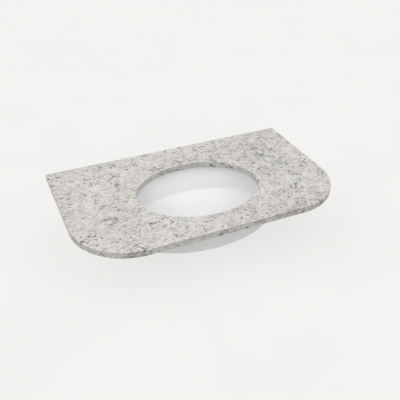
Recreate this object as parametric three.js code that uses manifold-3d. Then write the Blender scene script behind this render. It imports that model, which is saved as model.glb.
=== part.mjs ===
// Vanity sink top: a stone slab with an oval undermount basin, its rim clamps and its push-push waste.
// Millimetres, X along the slab's width, Y towards the wall, Z up.
// The origin lies on the slab's underside, in the middle of the strip that rests on the back rail.

import * as THREE from 'three';
import { mergeVertices } from 'three/addons/utils/BufferGeometryUtils.js';
import Module from 'manifold-3d';

// Stone slab
const slabWidth = 940;
const slabDepth = 558;
const slabThickness = 23;
const frontCornerRadius = 198;
const slabArris = 1.6;
const seatInset = 45;
const seatStripDepth = 80;

// Oval cut-out
const cutoutHalfWidth = 219;
const cutoutHalfDepth = 169;
const cutoutForward = 24;

// Basin
const rimHalfWidth = 305;
const rimHalfDepth = 208;
const rimThickness = 12;
const rimReach = 15;
const rimEdgeRadius = 3;
const chinaThickness = 11;
const mouthRadius = 5;
const rootFillet = 5;
const wallDraft = THREE.MathUtils.degToRad(4);
const floorEdgeDepth = 102;
const floorFillet = 9;
const floorEdgeSlope = THREE.MathUtils.degToRad(14);
const floorBend = THREE.MathUtils.degToRad(70);
const drainDepth = 129;
const drainForward = 12;
const drainHoleClearance = 1.8;
const drainSeatClearance = 1;
const drainSeatFlare = 2;
const bossWall = 3;
const bossProjection = 9;
const bossFillet = 4;
const bossChamfer = 2;

// Sealant bead between the rim and the slab
const sealantThickness = 2;
const sealantInset = 2.5;

// Rim clamps
const clampCount = 6;
const studOffset = 14;
const studRadius = 3;
const studEndGap = 2;
const studProjection = 9;
const anchorWall = 2;
const anchorCover = 9;
const anchorEndGap = 1;
const clipThickness = 2.5;
const clipWidth = 20;
const clipToe = 8;
const clipHeelReach = 12;
const clipFoot = 8;
const clipSlotReach = 5;
const washerRadius = 8;
const washerThickness = 1.4;
const wingNutHeight = 7.5;
const wingNutRadius = 5.6;
const wingNutTaper = 0.9;
const wingSpan = 15;
const wingDrop = 6.5;
const wingThickness = 2.4;
const wingTipRadius = 3.2;
const wingSetDegrees = 25;

// Waste
const wasteTubeRadius = 20.95;
const wasteTubeWall = 2.95;
const wasteTailLength = 42.5;
const wasteEndChamfer = 1;
const wasteFlangeRadius = 34;
const wasteFlangeThickness = 2.8;
const wasteFlangeEdge = 1.2;
const wasteFlangeProud = 0.3;
const wasteConeTop = 25;
const wasteConeDepth = 7;
const gasketThickness = 1.5;
const armCount = 3;
const armWidth = 4;
const hubRadius = 6.5;
const hubHeight = 8;
const rubberThickness = 4;
const rubberRadius = 31;
const rubberTaper = 1.5;
const slipThickness = 1.5;
const slipRadius = 30;
const nutAcrossFlats = 54;
const nutHeight = 9;
const nutChamfer = 2;

// Push-push plug and its cartridge
const plugTravel = 9;
const capRadius = 30;
const capEdge = 2.2;
const capDome = 2.2;
const capEdgeRadius = 1;
const capBossRadius = 7;
const capBossDepth = 6;
const capSocketDepth = 4.5;
const plugSealWidth = 9;
const plugSealThickness = 1.6;
const plugSealLip = 0.7;
const plugSealClearance = 1;
const plungerRadius = 4;
const plungerHeadHeight = 4;
const plungerStopGap = 1;
const collarHeight = 3;
const collarClearance = 3.1;
const housingRadius = 7.5;
const housingWall = 1.5;
const housingFloor = 2.5;
const spigotRadius = 3;
const spigotInset = 1;
const springWire = 1;
const springTurns = 4;
const springRoom = 7.5;

// Clearances
const seatGap = 0.3;
const runningGap = 0.3;
const slotGap = 0.6;
const cutOverrun = 1;

// Fineness of the round forms
const cornerSteps = 20;
const cutoutSides = 80;
const arrisSteps = 2;
const bowlSides = 64;
const floorFilletSteps = 4;
const edgeRoundSteps = 2;
const turnedSides = 36;
const smallSides = 12;
const slotSteps = 5;
const hubSteps = 4;
const wingSteps = 3;
const springStepsPerTurn = 8;
const springSectionSides = 5;
const weldDistance = 1e-4;

// Angles
const rightAngle = Math.PI / 2;
const fullTurn = 2 * Math.PI;

// Slab and basin, worked out from the sizes above
const slabBack = seatInset;
const seatStripFront = slabBack - seatStripDepth;
const slabFront = slabBack - slabDepth;
const bowlCentreY = (slabBack + slabFront) / 2 - cutoutForward;
const drainY = bowlCentreY - drainForward;
const rimTop = -sealantThickness;
const rimUnderside = rimTop - rimThickness;
const rimLedge = chinaThickness + rimReach;
const bowlHalfWidth = rimHalfWidth - rimLedge;
const bowlHalfDepth = rimHalfDepth - rimLedge;
const drainSeatZ = rimTop - drainDepth;
const drainSeatTop = drainSeatZ + gasketThickness + wasteFlangeThickness - wasteFlangeProud;
const drainSeatRadius = wasteFlangeRadius + drainSeatClearance;
const drainHoleRadius = wasteTubeRadius + drainHoleClearance;
const bossRadius = drainSeatRadius + bossWall;
const floorUnderside = drainSeatTop - chinaThickness;
const bossUnderside = floorUnderside - bossProjection;

// Clamps, drawn with +X pointing out from the rim's edge and z = 0 on the slab's underside
const anchorHoleDepth = slabThickness - anchorCover;
const anchorLength = anchorHoleDepth - anchorEndGap;
const studBore = studRadius + runningGap;
const anchorRadius = studBore + anchorWall;
const clipTop = rimUnderside - seatGap;
const clipUnderside = clipTop - clipThickness;
const washerTop = clipUnderside - seatGap;
const washerUnderside = washerTop - washerThickness;
const nutTop = washerUnderside - seatGap;
const studTop = anchorLength - studEndGap;
const studEnd = nutTop - wingNutHeight - studProjection;

// Waste, drawn with z = 0 on the basin's drain seat and the plug closed
const flangeTop = gasketThickness + wasteFlangeThickness;
const wasteBore = wasteTubeRadius - wasteTubeWall;
const tubeSleeve = wasteTubeRadius + seatGap;
const rubberTop = bossUnderside - drainSeatZ;
const slipTop = rubberTop - rubberThickness;
const backnutTop = slipTop - slipThickness;
const capUnderside = flangeTop + seatGap;
const capBossLow = capUnderside - capBossDepth;
const collarTop = capBossLow - collarClearance;
const collarLow = collarTop - collarHeight;
const headTop = collarLow - plungerStopGap - plugTravel;
const headLow = headTop - plungerHeadHeight;
const chamberLow = headLow - springRoom;
const chamberRadius = housingRadius - housingWall;
const housingLow = chamberLow - housingFloor;
const hubTop = housingLow;
const hubLow = hubTop - hubHeight;
const tailEnd = hubLow - wasteTailLength;

// Materials
const stone = new THREE.MeshStandardMaterial({ color: 0xcdcbc6, roughness: 0.35, metalness: 0 });
const china = new THREE.MeshStandardMaterial({ color: 0xf2f2f3, roughness: 0.12, metalness: 0 });
const silicone = new THREE.MeshStandardMaterial({ color: 0xe6e6e2, roughness: 0.6, metalness: 0 });
const brass = new THREE.MeshStandardMaterial({ color: 0xb5964d, roughness: 0.4, metalness: 1 });
const zincedSteel = new THREE.MeshStandardMaterial({ color: 0xb9bdc1, roughness: 0.35, metalness: 1 });
const chrome = new THREE.MeshStandardMaterial({ color: 0xd9dbde, roughness: 0.08, metalness: 1 });
const blackRubber = new THREE.MeshStandardMaterial({ color: 0x242526, roughness: 0.75, metalness: 0 });
const whiteNylon = new THREE.MeshStandardMaterial({ color: 0xe9e8e2, roughness: 0.5, metalness: 0 });
const greyAcetal = new THREE.MeshStandardMaterial({ color: 0x8d9196, roughness: 0.45, metalness: 0 });

const wasm = await Module();
wasm.setup();

// A closed three.js geometry as a solid that can be cut and joined
function solidOf(geometry) {
  const bare = geometry.index ? geometry.toNonIndexed() : geometry.clone();
  bare.deleteAttribute('normal');
  bare.deleteAttribute('uv');
  const merged = mergeVertices(bare, weldDistance);
  const corners = merged.index.array;
  const triVerts = [];
  for (let i = 0; i < corners.length; i += 3) {
    const [a, b, c] = [corners[i], corners[i + 1], corners[i + 2]];
    if (a !== b && b !== c && c !== a) triVerts.push(a, b, c);
  }
  const mesh = new wasm.Mesh({
    numProp: 3,
    vertProperties: Float32Array.from(merged.attributes.position.array),
    triVerts: Uint32Array.from(triVerts),
  });
  return new wasm.Manifold(mesh);
}

// A solid as a three.js geometry again
function geometryOf(solid) {
  const mesh = solid.getMesh();
  const geometry = new THREE.BufferGeometry();
  geometry.setAttribute('position', new THREE.BufferAttribute(Float32Array.from(mesh.vertProperties), 3));
  geometry.setIndex(new THREE.BufferAttribute(Uint32Array.from(mesh.triVerts), 1));
  geometry.computeVertexNormals();
  return geometry;
}

function part(name, solid, material) {
  const mesh = new THREE.Mesh(geometryOf(solid), material);
  mesh.name = name;
  return mesh;
}

// A solid turned about Z from a profile of [radius, z] points that runs anticlockwise, out from the axis
function turned(profile, sides = turnedSides) {
  const points = profile.map(([radius, z]) => new THREE.Vector2(radius, z));
  const last = profile[profile.length - 1];
  if (profile[0][0] !== 0 || last[0] !== 0) points.push(points[0].clone());
  return solidOf(new THREE.LatheGeometry(points, sides).rotateX(rightAngle));
}

function cylinder(radius, low, high, sides = turnedSides) {
  return turned([[0, low], [radius, low], [radius, high], [0, high]], sides);
}

function ring(inner, outer, low, high, sides = turnedSides) {
  return turned([[inner, low], [outer, low], [outer, high], [inner, high]], sides);
}

// A solid between two heights, from an outline in X and Y
function plate(shape, low, high) {
  const geometry = new THREE.ExtrudeGeometry(shape, {
    depth: high - low,
    curveSegments: slotSteps,
    bevelEnabled: false,
  });
  return solidOf(geometry.translate(0, 0, low));
}

// A strip across X, from an outline in X and Z
function strip(shape, width) {
  const geometry = new THREE.ExtrudeGeometry(shape, {
    depth: width,
    curveSegments: wingSteps,
    bevelEnabled: false,
  });
  return solidOf(geometry.translate(0, 0, -width / 2).rotateX(rightAngle));
}

function ovalPoints(halfWidth, halfDepth, sides, centreY = 0) {
  const points = [];
  for (let i = 0; i < sides; i += 1) {
    const angle = (fullTurn * i) / sides;
    points.push(new THREE.Vector2(halfWidth * Math.cos(angle), centreY + halfDepth * Math.sin(angle)));
  }
  return points;
}

// A solid skinned over level ovals, the last one joined to the first
function skinned(ovals) {
  const sides = bowlSides;
  const positions = ovals.flatMap(({ halfWidth, halfDepth, z, centreY }) => (
    ovalPoints(halfWidth, halfDepth, sides, centreY).flatMap((point) => [point.x, point.y, z])
  ));
  const index = [];
  ovals.forEach((_, i) => {
    const here = i * sides;
    const next = ((i + 1) % ovals.length) * sides;
    for (let k = 0; k < sides; k += 1) {
      const after = (k + 1) % sides;
      index.push(here + k, next + after, next + k);
      index.push(here + k, here + after, next + after);
    }
  });
  const geometry = new THREE.BufferGeometry();
  geometry.setAttribute('position', new THREE.Float32BufferAttribute(positions, 3));
  geometry.setIndex(index);
  return solidOf(geometry);
}

// Stone slab, square at the back and with two large round corners at the front
function slabOutline() {
  const outline = [new THREE.Vector2(slabWidth / 2, slabBack), new THREE.Vector2(-slabWidth / 2, slabBack)];
  const cornerY = slabFront + frontCornerRadius;
  const cornerX = slabWidth / 2 - frontCornerRadius;
  for (const side of [-1, 1]) {
    const start = side < 0 ? Math.PI : -rightAngle;
    for (let i = 0; i <= cornerSteps; i += 1) {
      const angle = start + (rightAngle * i) / cornerSteps;
      const x = side * cornerX + frontCornerRadius * Math.cos(angle);
      outline.push(new THREE.Vector2(x, cornerY + frontCornerRadius * Math.sin(angle)));
    }
  }
  return outline;
}

// The strip that rests on the back rail, marked off so that it is a face of its own
function withSeatStrip(slab) {
  const [seat, rest] = slab.splitByPlane([0, 1, 0], seatStripFront);
  return rest.add(seat.asOriginal());
}

function stoneSlab() {
  const shape = new THREE.Shape(slabOutline());
  shape.holes.push(new THREE.Path(ovalPoints(cutoutHalfWidth, cutoutHalfDepth, cutoutSides, bowlCentreY)));
  const geometry = new THREE.ExtrudeGeometry(shape, {
    depth: slabThickness - 2 * slabArris,
    bevelSize: slabArris,
    bevelThickness: slabArris,
    bevelOffset: -slabArris,
    bevelSegments: arrisSteps,
  });
  let slab = solidOf(geometry.translate(0, 0, slabArris));
  for (const seat of clampSeats()) {
    const hole = cylinder(anchorRadius + seatGap, -cutOverrun, anchorHoleDepth, smallSides);
    slab = slab.subtract(hole.rotate([0, 0, seat.degrees]).translate([seat.studX, seat.studY, 0]));
  }
  return withSeatStrip(slab);
}

// The bowl's inner wall with its draft, and the fillet that turns it into the floor
function wallSection() {
  const leanEnd = rightAngle - floorEdgeSlope;
  const filletTop = -floorEdgeDepth + floorFillet * (Math.sin(leanEnd) - Math.sin(wallDraft));
  const wallRun = (-filletTop - mouthRadius) * Math.tan(wallDraft);
  const section = (inset, z, lean) => ({
    halfWidth: bowlHalfWidth - inset,
    halfDepth: bowlHalfDepth - inset,
    z: rimTop + z,
    lean,
    centreY: bowlCentreY,
  });
  const sections = [section(0, -mouthRadius, wallDraft)];
  for (let i = 0; i <= floorFilletSteps; i += 1) {
    const lean = THREE.MathUtils.lerp(wallDraft, leanEnd, i / floorFilletSteps);
    const inset = wallRun + floorFillet * (Math.cos(wallDraft) - Math.cos(lean));
    sections.push(section(inset, filletTop - floorFillet * (Math.sin(lean) - Math.sin(wallDraft)), lean));
  }
  return sections;
}

// The floor, which runs from the oval to the round drain seat and flattens on the way
function floorSection(edge) {
  const seatEdge = drainSeatRadius + drainSeatFlare;
  const runShares = [0.2, 0.4, 0.6, 0.8, 1];
  return runShares.map((share) => ({
    halfWidth: THREE.MathUtils.lerp(edge.halfWidth, seatEdge, share),
    halfDepth: THREE.MathUtils.lerp(edge.halfDepth, seatEdge, share),
    z: THREE.MathUtils.lerp(edge.z, drainSeatTop, Math.sin(share * floorBend) / Math.sin(floorBend)),
    lean: THREE.MathUtils.lerp(edge.lean, rightAngle, share),
    centreY: THREE.MathUtils.lerp(bowlCentreY, drainY, share),
  }));
}

// A quarter round from one direction to another, as [out, up] offsets from its centre
function quarter(radius, from, to) {
  const offsets = [];
  for (let i = 0; i <= edgeRoundSteps; i += 1) {
    const angle = THREE.MathUtils.lerp(from, to, i / edgeRoundSteps);
    offsets.push([radius * Math.cos(angle), radius * Math.sin(angle)]);
  }
  return offsets;
}

// The basin's whole section: mouth, inside, drain and its boss, outside, and the rim that the clamps hold
function basin() {
  const wall = wallSection();
  const floor = floorSection(wall[wall.length - 1]);
  const round = (radius, z) => ({ halfWidth: radius, halfDepth: radius, z, centreY: drainY });
  const rim = (reach, z) => ({
    halfWidth: rimHalfWidth + reach,
    halfDepth: rimHalfDepth + reach,
    z,
    centreY: bowlCentreY,
  });
  const mouth = quarter(mouthRadius, rightAngle, Math.PI).slice(0, -1).map(([out, up]) => (
    rim(out + mouthRadius - rimLedge, rimTop - mouthRadius + up)
  ));
  const drain = [
    round(drainSeatRadius, drainSeatZ),
    round(drainHoleRadius, drainSeatZ),
    round(drainHoleRadius, bossUnderside),
    round(bossRadius - bossChamfer, bossUnderside),
    round(bossRadius, bossUnderside + bossChamfer),
    round(bossRadius, floorUnderside - bossFillet),
    round(bossRadius + bossFillet, floorUnderside),
  ];
  const outside = [...wall.slice(1), ...floor.slice(0, -1)].reverse().map((inner) => ({
    halfWidth: inner.halfWidth + chinaThickness * Math.cos(inner.lean),
    halfDepth: inner.halfDepth + chinaThickness * Math.cos(inner.lean),
    z: inner.z - chinaThickness * Math.sin(inner.lean),
    centreY: inner.centreY,
  }));
  const rimRoot = quarter(rootFillet, Math.PI, rightAngle).map(([out, up]) => (
    rim(rootFillet + out - rimReach, rimUnderside - rootFillet + up)
  ));
  const lowerEdge = quarter(rimEdgeRadius, -rightAngle, 0).map(([out, up]) => (
    rim(out - rimEdgeRadius, rimUnderside + rimEdgeRadius + up)
  ));
  const upperEdge = quarter(rimEdgeRadius, 0, rightAngle).map(([out, up]) => (
    rim(out - rimEdgeRadius, rimTop - rimEdgeRadius + up)
  ));
  return skinned([
    ...mouth, ...wall, ...floor, ...drain, ...outside, ...rimRoot, ...lowerEdge, ...upperEdge,
  ]);
}

// The bead on the flat of the rim, between its outer edge and the mouth
function rimSealant() {
  const outerInset = rimEdgeRadius + sealantInset;
  const innerInset = rimLedge - mouthRadius - sealantInset;
  const oval = (inset) => ovalPoints(rimHalfWidth - inset, rimHalfDepth - inset, bowlSides, bowlCentreY);
  const shape = new THREE.Shape(oval(outerInset));
  shape.holes.push(new THREE.Path(oval(innerInset)));
  return plate(shape, rimTop, 0);
}

// Places of the clamps round the rim: a point on its edge, the outward direction there and the stud beside it
function clampSeats() {
  const seats = [];
  for (let i = 0; i < clampCount; i += 1) {
    const angle = (fullTurn * i) / clampCount;
    const edge = new THREE.Vector2(rimHalfWidth * Math.cos(angle), rimHalfDepth * Math.sin(angle));
    const outward = new THREE.Vector2(Math.cos(angle) / rimHalfWidth, Math.sin(angle) / rimHalfDepth);
    outward.normalize();
    seats.push({
      edgeX: edge.x,
      edgeY: bowlCentreY + edge.y,
      studX: edge.x + studOffset * outward.x,
      studY: bowlCentreY + edge.y + studOffset * outward.y,
      degrees: THREE.MathUtils.radToDeg(Math.atan2(outward.y, outward.x)),
    });
  }
  return seats;
}

// Cranked clip: the toe lifts the rim, the foot bears on the slab and a slot lets it slide on the stud
function rimClip() {
  const heel = studOffset + clipHeelReach;
  const foot = heel + clipFoot;
  const footTop = -seatGap;
  const profile = new THREE.Shape([
    new THREE.Vector2(-clipToe, clipTop),
    new THREE.Vector2(-clipToe, clipUnderside),
    new THREE.Vector2(heel + clipThickness, clipUnderside),
    new THREE.Vector2(heel + clipThickness, footTop - clipThickness),
    new THREE.Vector2(foot, footTop - clipThickness),
    new THREE.Vector2(foot, footTop),
    new THREE.Vector2(heel, footTop),
    new THREE.Vector2(heel, clipTop),
  ]);
  const slotRadius = studRadius + slotGap;
  const slot = new THREE.Shape();
  slot.absarc(studOffset - clipSlotReach, 0, slotRadius, rightAngle, -rightAngle);
  slot.absarc(studOffset + clipSlotReach, 0, slotRadius, -rightAngle, rightAngle);
  return strip(profile, clipWidth).subtract(plate(slot, clipUnderside - cutOverrun, clipTop + cutOverrun));
}

function wingNut() {
  const wing = (side) => {
    const shape = new THREE.Shape();
    shape.moveTo(side * studRadius, -wingNutTaper);
    shape.lineTo(side * wingNutRadius, -wingNutTaper);
    shape.quadraticCurveTo(side * (wingSpan - wingTipRadius), -wingNutTaper, side * wingSpan, -wingDrop);
    shape.lineTo(side * (wingSpan - wingTipRadius / 2), -wingDrop - wingTipRadius);
    shape.lineTo(side * (wingSpan - wingTipRadius * 2), -wingDrop - wingTipRadius);
    shape.quadraticCurveTo(side * wingNutRadius, -wingDrop, side * studRadius, -wingDrop);
    return strip(shape, wingThickness);
  };
  const hub = turned([
    [0, -wingNutHeight],
    [wingNutRadius - wingNutTaper, -wingNutHeight],
    [wingNutRadius, -wingNutTaper],
    [wingNutRadius, 0],
    [0, 0],
  ], smallSides);
  const bore = cylinder(studBore, -wingNutHeight - cutOverrun, cutOverrun, smallSides);
  return hub.add(wing(1)).add(wing(-1)).subtract(bore).translate([0, 0, nutTop]);
}

function clamp(seat, number) {
  const group = new THREE.Group();
  group.position.set(seat.edgeX, seat.edgeY, 0);
  group.rotation.z = THREE.MathUtils.degToRad(seat.degrees);
  const addOnStud = (name, solid, material) => {
    group.add(part(`${name}_${number}`, solid.translate([studOffset, 0, 0]), material));
  };
  addOnStud('anchor_insert', ring(studBore, anchorRadius, 0, anchorLength, smallSides), brass);
  addOnStud('clamp_stud', cylinder(studRadius, studEnd, studTop, smallSides), zincedSteel);
  const washer = ring(studBore, washerRadius, washerUnderside, washerTop, smallSides);
  addOnStud('clamp_washer', washer, zincedSteel);
  addOnStud('wing_nut', wingNut().rotate([0, 0, number * wingSetDegrees]), zincedSteel);
  group.add(part(`rim_clip_${number}`, rimClip(), zincedSteel));
  return group;
}

// The hub and its arms, which reach the tube's bore
function spiderOutline() {
  const armEnd = Math.sqrt((wasteBore - seatGap) ** 2 - (armWidth / 2) ** 2);
  const sector = fullTurn / armCount;
  const rootAngle = Math.asin(armWidth / 2 / hubRadius);
  const centre = new THREE.Vector2();
  const outline = [];
  for (let i = 0; i < armCount; i += 1) {
    for (const side of [-1, 1]) {
      outline.push(new THREE.Vector2(armEnd, (side * armWidth) / 2).rotateAround(centre, sector * i));
    }
    for (let k = 0; k <= hubSteps; k += 1) {
      const angle = sector * i + THREE.MathUtils.lerp(rootAngle, sector - rootAngle, k / hubSteps);
      outline.push(new THREE.Vector2(hubRadius * Math.cos(angle), hubRadius * Math.sin(angle)));
    }
  }
  return outline;
}

// The spider pressed into the tube, which carries the plug's cartridge
function wasteSpider() {
  const shape = new THREE.Shape(spiderOutline());
  const spigotBore = spigotRadius + runningGap;
  shape.holes.push(new THREE.Path(ovalPoints(spigotBore, spigotBore, smallSides)));
  return plate(shape, hubLow, hubTop);
}

// Waste body: flange, cone and threaded tube
function wasteBody() {
  return turned([
    [wasteBore, tailEnd],
    [wasteTubeRadius - wasteEndChamfer, tailEnd],
    [wasteTubeRadius, tailEnd + wasteEndChamfer],
    [wasteTubeRadius, gasketThickness],
    [wasteFlangeRadius, gasketThickness],
    [wasteFlangeRadius, gasketThickness + wasteFlangeEdge],
    [wasteFlangeRadius - wasteFlangeEdge, flangeTop],
    [wasteConeTop, flangeTop],
    [wasteBore, flangeTop - wasteConeDepth],
  ]);
}

function seatGasket() {
  return turned([
    [tubeSleeve, slipTop],
    [rubberRadius - rubberTaper, slipTop],
    [rubberRadius, rubberTop],
    [tubeSleeve, rubberTop],
  ]);
}

function wasteBacknut() {
  const underside = backnutTop - nutHeight;
  const cornerRadius = nutAcrossFlats / 2 / Math.cos(Math.PI / 6);
  const hexagon = new THREE.Shape(ovalPoints(cornerRadius, cornerRadius, 6));
  const chamfered = turned([
    [0, underside],
    [cornerRadius - 2 * nutChamfer, underside],
    [cornerRadius, underside + nutChamfer],
    [cornerRadius, backnutTop],
    [0, backnutTop],
  ]);
  const bore = cylinder(tubeSleeve, underside - cutOverrun, backnutTop + cutOverrun);
  return plate(hexagon, underside, backnutTop).intersect(chamfered).subtract(bore);
}

function cartridgeHousing() {
  return turned([
    [0, hubLow + spigotInset],
    [spigotRadius, hubLow + spigotInset],
    [spigotRadius, housingLow],
    [housingRadius, housingLow],
    [housingRadius, collarLow],
    [chamberRadius, collarLow],
    [chamberRadius, chamberLow],
    [0, chamberLow],
  ], smallSides);
}

function plunger() {
  const headRadius = chamberRadius - runningGap;
  const rodTop = capBossLow + capSocketDepth - seatGap;
  return turned([
    [0, headLow],
    [headRadius, headLow],
    [headRadius, headTop],
    [plungerRadius, headTop],
    [plungerRadius, rodTop],
    [0, rodTop],
  ], smallSides);
}

class Helix extends THREE.Curve {
  constructor(radius, low, high, turns) {
    super();
    this.radius = radius;
    this.low = low;
    this.high = high;
    this.turns = turns;
  }

  getPoint(share, target = new THREE.Vector3()) {
    const angle = fullTurn * this.turns * share;
    const z = THREE.MathUtils.lerp(this.low, this.high, share);
    return target.set(this.radius * Math.cos(angle), this.radius * Math.sin(angle), z);
  }
}

// The spring that lifts the plug, between the chamber's floor and the plunger's head
function plungerSpring() {
  const wireRadius = springWire / 2;
  const coilRadius = chamberRadius - slotGap - wireRadius;
  const endInset = seatGap + wireRadius;
  const path = new Helix(coilRadius, chamberLow + endInset, headLow - endInset, springTurns);
  const section = new THREE.Shape(ovalPoints(wireRadius, wireRadius, springSectionSides));
  return solidOf(new THREE.ExtrudeGeometry(section, {
    extrudePath: path,
    steps: springTurns * springStepsPerTurn,
    bevelEnabled: false,
  }));
}

function plugCap() {
  const socketRadius = plungerRadius + runningGap;
  const edgeTop = capUnderside + capEdge;
  const domeShares = [[0.72, 0.48], [0.38, 0.86]];
  return turned([
    [0, capBossLow + capSocketDepth],
    [socketRadius, capBossLow + capSocketDepth],
    [socketRadius, capBossLow],
    [capBossRadius, capBossLow],
    [capBossRadius, capUnderside],
    [capRadius - capEdgeRadius, capUnderside],
    [capRadius, capUnderside + capEdgeRadius],
    [capRadius, edgeTop - capEdgeRadius],
    [capRadius - capEdgeRadius, edgeTop],
    ...domeShares.map(([out, up]) => [capRadius * out, edgeTop + capDome * up]),
    [0, edgeTop + capDome],
  ]);
}

// The lip seal under the cap, which closes on the flange's cone when the plug is down
function plugSeal() {
  const sealRadius = wasteConeTop - plugSealClearance;
  const innerRadius = sealRadius - plugSealWidth;
  const underside = capUnderside - plugSealThickness;
  return turned([
    [innerRadius, underside],
    [sealRadius - 2 * plugSealThickness, underside],
    [sealRadius, capUnderside - plugSealLip],
    [sealRadius, capUnderside],
    [innerRadius, capUnderside],
  ]);
}

function waste() {
  const group = new THREE.Group();
  group.position.set(0, drainY, drainSeatZ);
  const add = (name, solid, material) => group.add(part(name, solid, material));
  const gasketInner = drainHoleRadius + seatGap;
  const gasketOuter = wasteFlangeRadius - seatGap;
  add('flange_gasket', ring(gasketInner, gasketOuter, 0, gasketThickness), blackRubber);
  add('waste_body', wasteBody(), chrome);
  add('waste_spider', wasteSpider(), brass);
  add('seat_gasket', seatGasket(), blackRubber);
  add('slip_washer', ring(tubeSleeve, slipRadius, backnutTop, slipTop), whiteNylon);
  add('waste_backnut', wasteBacknut(), chrome);
  add('cartridge_housing', cartridgeHousing(), greyAcetal);
  const collarBore = plungerRadius + runningGap;
  add('cartridge_collar', ring(collarBore, housingRadius, collarLow, collarTop, smallSides), greyAcetal);
  add('plunger_spring', plungerSpring(), zincedSteel);
  add('plunger', plunger(), brass);
  add('plug_cap', plugCap(), chrome);
  add('plug_seal', plugSeal(), blackRubber);
  return group;
}

const sinkTop = new THREE.Group();
sinkTop.add(part('stone_slab', stoneSlab(), stone));
sinkTop.add(part('basin', basin(), china));
sinkTop.add(part('rim_sealant', rimSealant(), silicone));
clampSeats().forEach((seat, i) => sinkTop.add(clamp(seat, i + 1)));
sinkTop.add(waste());

export default sinkTop;
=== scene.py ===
"""Vanity sink top: the looks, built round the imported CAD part.

Lengths are in millimetres, in the part's own frame, until mesh_object() and plate() turn them into metres.
"""

import math

import bmesh
import bpy
from mathutils import Matrix, Vector


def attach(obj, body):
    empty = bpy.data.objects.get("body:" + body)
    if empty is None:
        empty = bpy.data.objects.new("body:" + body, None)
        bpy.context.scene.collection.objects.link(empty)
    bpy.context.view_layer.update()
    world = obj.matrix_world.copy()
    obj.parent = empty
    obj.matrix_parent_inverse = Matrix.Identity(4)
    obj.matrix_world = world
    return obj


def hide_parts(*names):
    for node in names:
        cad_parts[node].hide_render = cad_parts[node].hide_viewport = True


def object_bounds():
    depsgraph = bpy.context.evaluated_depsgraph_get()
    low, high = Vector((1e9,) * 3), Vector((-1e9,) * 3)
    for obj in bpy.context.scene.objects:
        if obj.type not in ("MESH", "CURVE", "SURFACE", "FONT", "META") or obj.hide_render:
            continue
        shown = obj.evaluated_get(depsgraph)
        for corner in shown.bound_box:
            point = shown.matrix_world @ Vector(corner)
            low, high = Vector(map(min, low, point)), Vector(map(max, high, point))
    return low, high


MM = 0.001
TURN = 2 * math.pi
QUARTER = math.pi / 2
WELD = 2e-6  # metres, and points closer than this are one point
OVERCUT = 1  # how far a cutting solid stands out of what it cuts

# Slab, its underside at z = 0
SLAB_HALF_WIDTH = 470
SLAB_BACK = 45
SLAB_FRONT = -513
SLAB_THICKNESS = 23
FRONT_CORNER_RADIUS = 198
SLAB_ARRIS = 1.6
CORNER_STEPS = 72
CUTOUT = (219, 169)  # half its width and half its depth
CUTOUT_SIDES = 240
BOWL_Y = -258
ANCHOR_HOLE_RADIUS = 5.6
ANCHOR_HOLE_DEPTH = 14

# Basin
BASIN_SIDES = 208
RIM = (305, 208)  # half its width and half its depth
RIM_TOP = -2
RIM_UNDERSIDE = -14
RIM_LEDGE = 26  # from the rim's edge in to the bowl's mouth
RIM_REACH = 15  # from the rim's edge in to the bowl's outside
RIM_EDGE_RADIUS = 3
RIM_ROOT_RADIUS = 5
CHINA = 11
MOUTH_RADIUS = 5
MOUTH_STEPS = 8
WALL_DRAFT = math.radians(4)
WALL_STEPS = 7
FLOOR_EDGE_DEPTH = 102
FLOOR_FILLET = 9
FILLET_STEPS = 14
FLOOR_EDGE_SLOPE = math.radians(14)
FLOOR_BEND = math.radians(70)
FLOOR_STEPS = 22
DRAIN_Y = -270
SEAT_Z = -131
SEAT_TOP = SEAT_Z + 4
SEAT_RADIUS = 35
HOLE_RADIUS = 22.75
BOSS_RADIUS = 38
BOSS_FILLET = 4
FLOOR_UNDERSIDE = SEAT_TOP - CHINA
BOSS_UNDERSIDE = FLOOR_UNDERSIDE - 9

# Sealant, each measured from the rim's edge inwards
SEALANT_EDGE = 5.5
SEALANT_MOUTH = 18.5

# Clamps
CLAMPS = 6
STUD_OUT = 14  # from the rim's edge out to the stud
STUD_SIDES = 20
STUD_RADIUS = 3
STUD_ROOT = 2.5
STUD_PITCH = 1
STUD_BORE = 3.3  # of the pieces that go over the stud
STUD_LOW = -35.3
STUD_HIGH = 11
ANCHOR_RADIUS = 5.3
ANCHOR_LENGTH = 13
CLIP_TOP = -14.3
CLIP_LOW = -16.8
CLIP_FOOT = -0.3
CLIP_WIDTH = 20
CLAMP_WASHER_RADIUS = 8
CLAMP_WASHER_TOP = -17.1
CLAMP_WASHER_LOW = -18.5
WING_NUT_TOP = -18.8
WING_NUT_TURN = math.radians(25)  # each wing nut is turned this much further than the last

# Waste, with z = 0 on the drain seat
WASTE_SIDES = 96
TUBE_BORE = 18
TUBE_RADIUS = 20.95
TUBE_LOW = -82
THREAD_HIGH = -1
THREAD_ROOT = 19.6
THREAD_PITCH = 2.309
SLIP_BORE = 21.25  # of the pieces that go over the tube
FLANGE_RADIUS = 34
FLANGE_LOW = 1.5
FLANGE_TOP = 4.3
CONE_RADIUS = 25
CONE_LOW = -2.7
FLANGE_GASKET = (23.05, 33.7)  # bore and radius
BOSS_FACE = BOSS_UNDERSIDE - SEAT_Z
SEAT_GASKET = (29.5, 31)  # radius at its underside and at its top
SEAT_GASKET_LOW = -20
SLIP_WASHER_RADIUS = 30
SLIP_WASHER_LOW = -21.5
BACKNUT_LOW = -30.5
BACKNUT_ACROSS = 54
SPIDER_LOW = -39.5
SPIDER_HIGH = -31.5
SPIDER_HUB = 6.5
SPIDER_REACH = 17.7
SPIDER_BORE = 3.3
SPIGOT_RADIUS = 3  # the cartridge's foot, in the spider's bore
SPIGOT_LOW = -38.5
CARTRIDGE_SIDES = 48
CARTRIDGE_RADIUS = 7.5
CARTRIDGE_BORE = 6
CARTRIDGE_FLOOR = -28.7
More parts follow.
